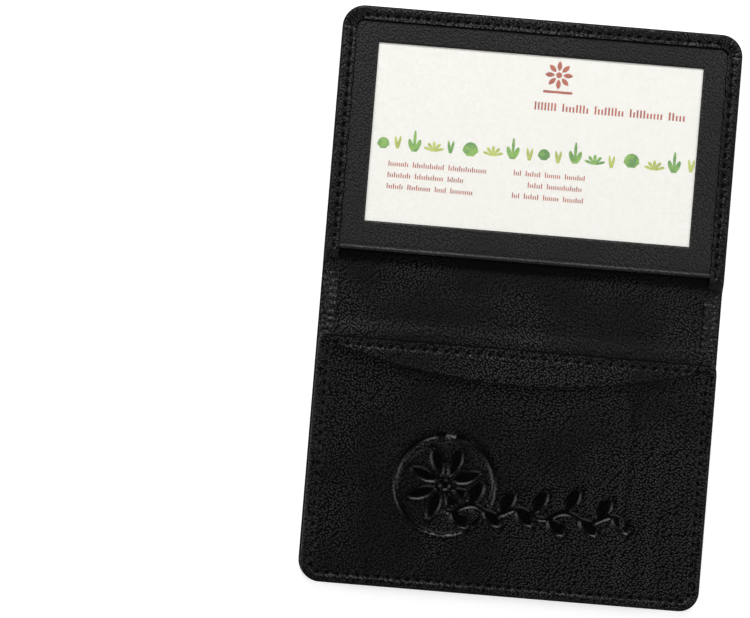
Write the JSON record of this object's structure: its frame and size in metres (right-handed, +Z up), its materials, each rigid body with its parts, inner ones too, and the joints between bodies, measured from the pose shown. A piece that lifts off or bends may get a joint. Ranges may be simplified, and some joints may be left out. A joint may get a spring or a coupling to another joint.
{
  "type": "business card case",
  "caption": "Folding leather card case with a windowed flap, a padded cover, a gusseted pocket and a curved slip pocket, shown open and flat.",
  "frame": {"origin": "centre of the underside of the back half, which lies on the table", "axes": "+X across the case, +Y from the pocket half towards the flap, +Z up out of the table"},
  "size_m": [0.108, 0.1556, 0.0093],
  "materials": {
    "cover_leather": "satin",
    "lining_leather": "satin",
    "pocket_leather": "satin",
    "gusset_leather": "satin",
    "pocket_fabric": "matte",
    "board": "matte",
    "foam": "matte",
    "thread": "matte",
    "clear_film": "gloss",
    "card_stock": "matte"
  },
  "bodies": {
    "back": {"cover_leather_back": "cover_leather", "back_board": "board", "back_lining": "lining_leather", "back_stitching": "thread", "gusset_left": "gusset_leather", "gusset_bottom": "gusset_leather", "gusset_right": "gusset_leather"},
    "pocket_front": {"pocket_lining": "pocket_fabric", "pocket_wall": "pocket_leather", "slip_pocket_panel": "pocket_leather", "pocket_stitching": "thread", "mouth_stitching": "thread"},
    "spine_1": {"cover_leather_spine_1": "cover_leather", "spine_lining_1": "lining_leather"},
    "spine_2": {"cover_leather_spine_2": "cover_leather", "spine_lining_2": "lining_leather"},
    "spine_3": {"cover_leather_spine_3": "cover_leather", "spine_lining_3": "lining_leather"},
    "flap": {"cover_leather_flap": "cover_leather", "flap_foam_pad": "foam", "flap_board": "board", "flap_lining": "lining_leather", "window_film": "clear_film", "window_panel": "lining_leather", "flap_stitching": "thread"},
    "card": {"display_card": "card_stock"}
  },
  "joints": [
    {"name": "spine_fold_1", "type": "hinge", "parent": "back", "child": "spine_1", "pos_m": [0, 0.0355, 0.0015], "axis": [1, 0, 0], "range_deg": [0, 45]},
    {"name": "spine_fold_2", "type": "hinge", "parent": "spine_1", "child": "spine_2", "pos_m": [0, 0.04005, 0.0015], "axis": [1, 0, 0], "range_deg": [0, 45]},
    {"name": "spine_fold_3", "type": "hinge", "parent": "spine_2", "child": "spine_3", "pos_m": [0, 0.0446, 0.0015], "axis": [1, 0, 0], "range_deg": [0, 45]},
    {"name": "cover_fold", "type": "hinge", "parent": "spine_3", "child": "flap", "pos_m": [0, 0.04915, 0.0015], "axis": [1, 0, 0], "range_deg": [0, 45]},
    {"name": "pocket_collapse", "type": "slide", "parent": "back", "child": "pocket_front", "axis": [0, 0, -1], "range_m": [0, 0.0044], "stiffness_N_per_m": 200, "springref_m": -0.002, "deforming": ["gusset_left", "gusset_bottom", "gusset_right"]},
    {"name": "card_slide", "type": "slide", "parent": "flap", "child": "card", "axis": [0, -1, 0], "range_m": [0, 0.0095]}
  ]
}
